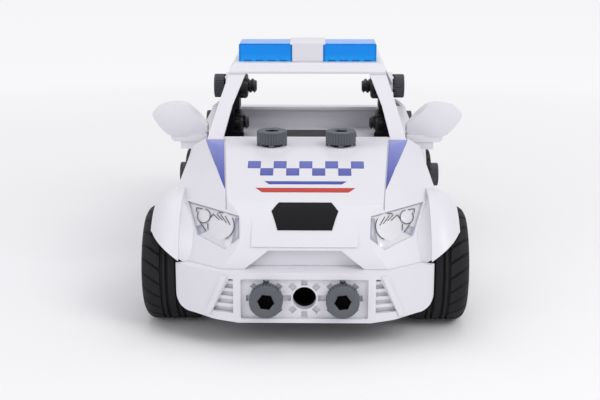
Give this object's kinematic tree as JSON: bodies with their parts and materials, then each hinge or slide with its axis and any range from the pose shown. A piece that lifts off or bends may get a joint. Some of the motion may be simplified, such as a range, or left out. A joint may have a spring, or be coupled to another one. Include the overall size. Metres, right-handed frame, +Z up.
{
  "type": "toy police car",
  "caption": "Bolt-together toy police car with open cab, light bar, door mirrors, fluted socket bolts, chunky tyres and a geared motor on its rear axle.",
  "frame": {"origin": "on the ground under the middle of the car", "axes": "+Z up, -Y is the way the car drives, +X is its left side"},
  "size_m": [0.148, 0.25, 0.1074],
  "materials": {
    "white_plastic": "satin white moulding",
    "black_plastic": "fine matt",
    "grey_bolt": "satin",
    "black_nut": "satin",
    "blue_lens": "clear blue",
    "motor_can": "plated",
    "cell_jacket": "plain jacket",
    "contact_steel": "plated",
    "board_green": "board",
    "axle_steel": "bright",
    "gear_plastic": "natural",
    "brass_pinion": "machined",
    "switch_plastic": "matt",
    "rim_plastic": "satin silver grey",
    "tyre_rubber": "matt"
  },
  "bodies": {
    "car_body": {"chassis_tub": "black_plastic", "chassis_cover": "black_plastic", "side_brackets": "black_plastic", "tail_beam": "black_plastic", "front_axle_bushes": "black_plastic", "rear_axle_bushes": "black_plastic", "front_bumper": "white_plastic", "bonnet": "white_plastic", "left_side_panel": "white_plastic", "right_side_panel": "white_plastic", "roof_frame": "white_plastic", "tail": "white_plastic", "rear_bumper": "white_plastic", "left_upright": "black_plastic", "right_upright": "black_plastic", "left_mirror": "white_plastic", "right_mirror": "white_plastic", "light_bar_lens": "blue_lens", "light_bar_saddle": "white_plastic", "bumper_bolts": "grey_bolt", "bumper_nuts": "black_nut", "bonnet_bolts": "grey_bolt", "bonnet_nuts": "black_nut", "pillar_bolts": "grey_bolt", "pillar_nuts": "black_nut", "side_bolts": "grey_bolt", "side_nuts": "black_nut", "sill_bolts": "grey_bolt", "sill_nuts": "black_nut", "rear_bumper_bolts": "grey_bolt", "rear_bumper_nuts": "black_nut", "motor": "motor_can", "battery_cells": "cell_jacket", "battery_contacts": "contact_steel", "battery_cover": "black_plastic", "battery_screw": "contact_steel", "circuit_board": "board_green", "front_axle": "axle_steel", "front_axle_caps": "grey_bolt", "idler_pin": "axle_steel"},
    "rear_axle_set": {"rear_axle": "axle_steel", "rear_axle_caps": "grey_bolt", "axle_gear": "gear_plastic", "rear_left_rim": "rim_plastic", "rear_left_tyre": "tyre_rubber", "rear_right_rim": "rim_plastic", "rear_right_tyre": "tyre_rubber"},
    "idler": {"idler_gear": "gear_plastic"},
    "pinion": {"motor_pinion": "brass_pinion"},
    "front_left_wheel": {"front_left_rim": "rim_plastic", "front_left_tyre": "tyre_rubber"},
    "front_right_wheel": {"front_right_rim": "rim_plastic", "front_right_tyre": "tyre_rubber"},
    "switch_slider": {"power_switch": "switch_plastic"}
  },
  "joints": [
    {"name": "rear_axle_spin", "type": "hinge", "parent": "car_body", "child": "rear_axle_set", "pos_m": [0, 0.048, 0.024], "axis": [1, 0, 0], "continuous": true},
    {"name": "idler_spin", "type": "hinge", "parent": "car_body", "child": "idler", "pos_m": [0.0165, 0.0355, 0.03031], "axis": [1, 0, 0], "continuous": true},
    {"name": "pinion_spin", "type": "hinge", "parent": "car_body", "child": "pinion", "pos_m": [0.013, 0.02156, 0.03153], "axis": [1, 0, 0], "continuous": true},
    {"name": "front_left_spin", "type": "hinge", "parent": "car_body", "child": "front_left_wheel", "pos_m": [0.0543, -0.08, 0.024], "axis": [1, 0, 0], "continuous": true},
    {"name": "front_right_spin", "type": "hinge", "parent": "car_body", "child": "front_right_wheel", "pos_m": [-0.0543, -0.08, 0.024], "axis": [1, 0, 0], "continuous": true},
    {"name": "switch_slide", "type": "slide", "parent": "car_body", "child": "switch_slider", "axis": [0, 1, 0], "range_m": [0, 0.004]}
  ],
  "couplings": [
    {"joint": "idler_spin", "follows": "rear_axle_spin", "ratio": -2.3333},
    {"joint": "pinion_spin", "follows": "rear_axle_spin", "ratio": 7}
  ]
}
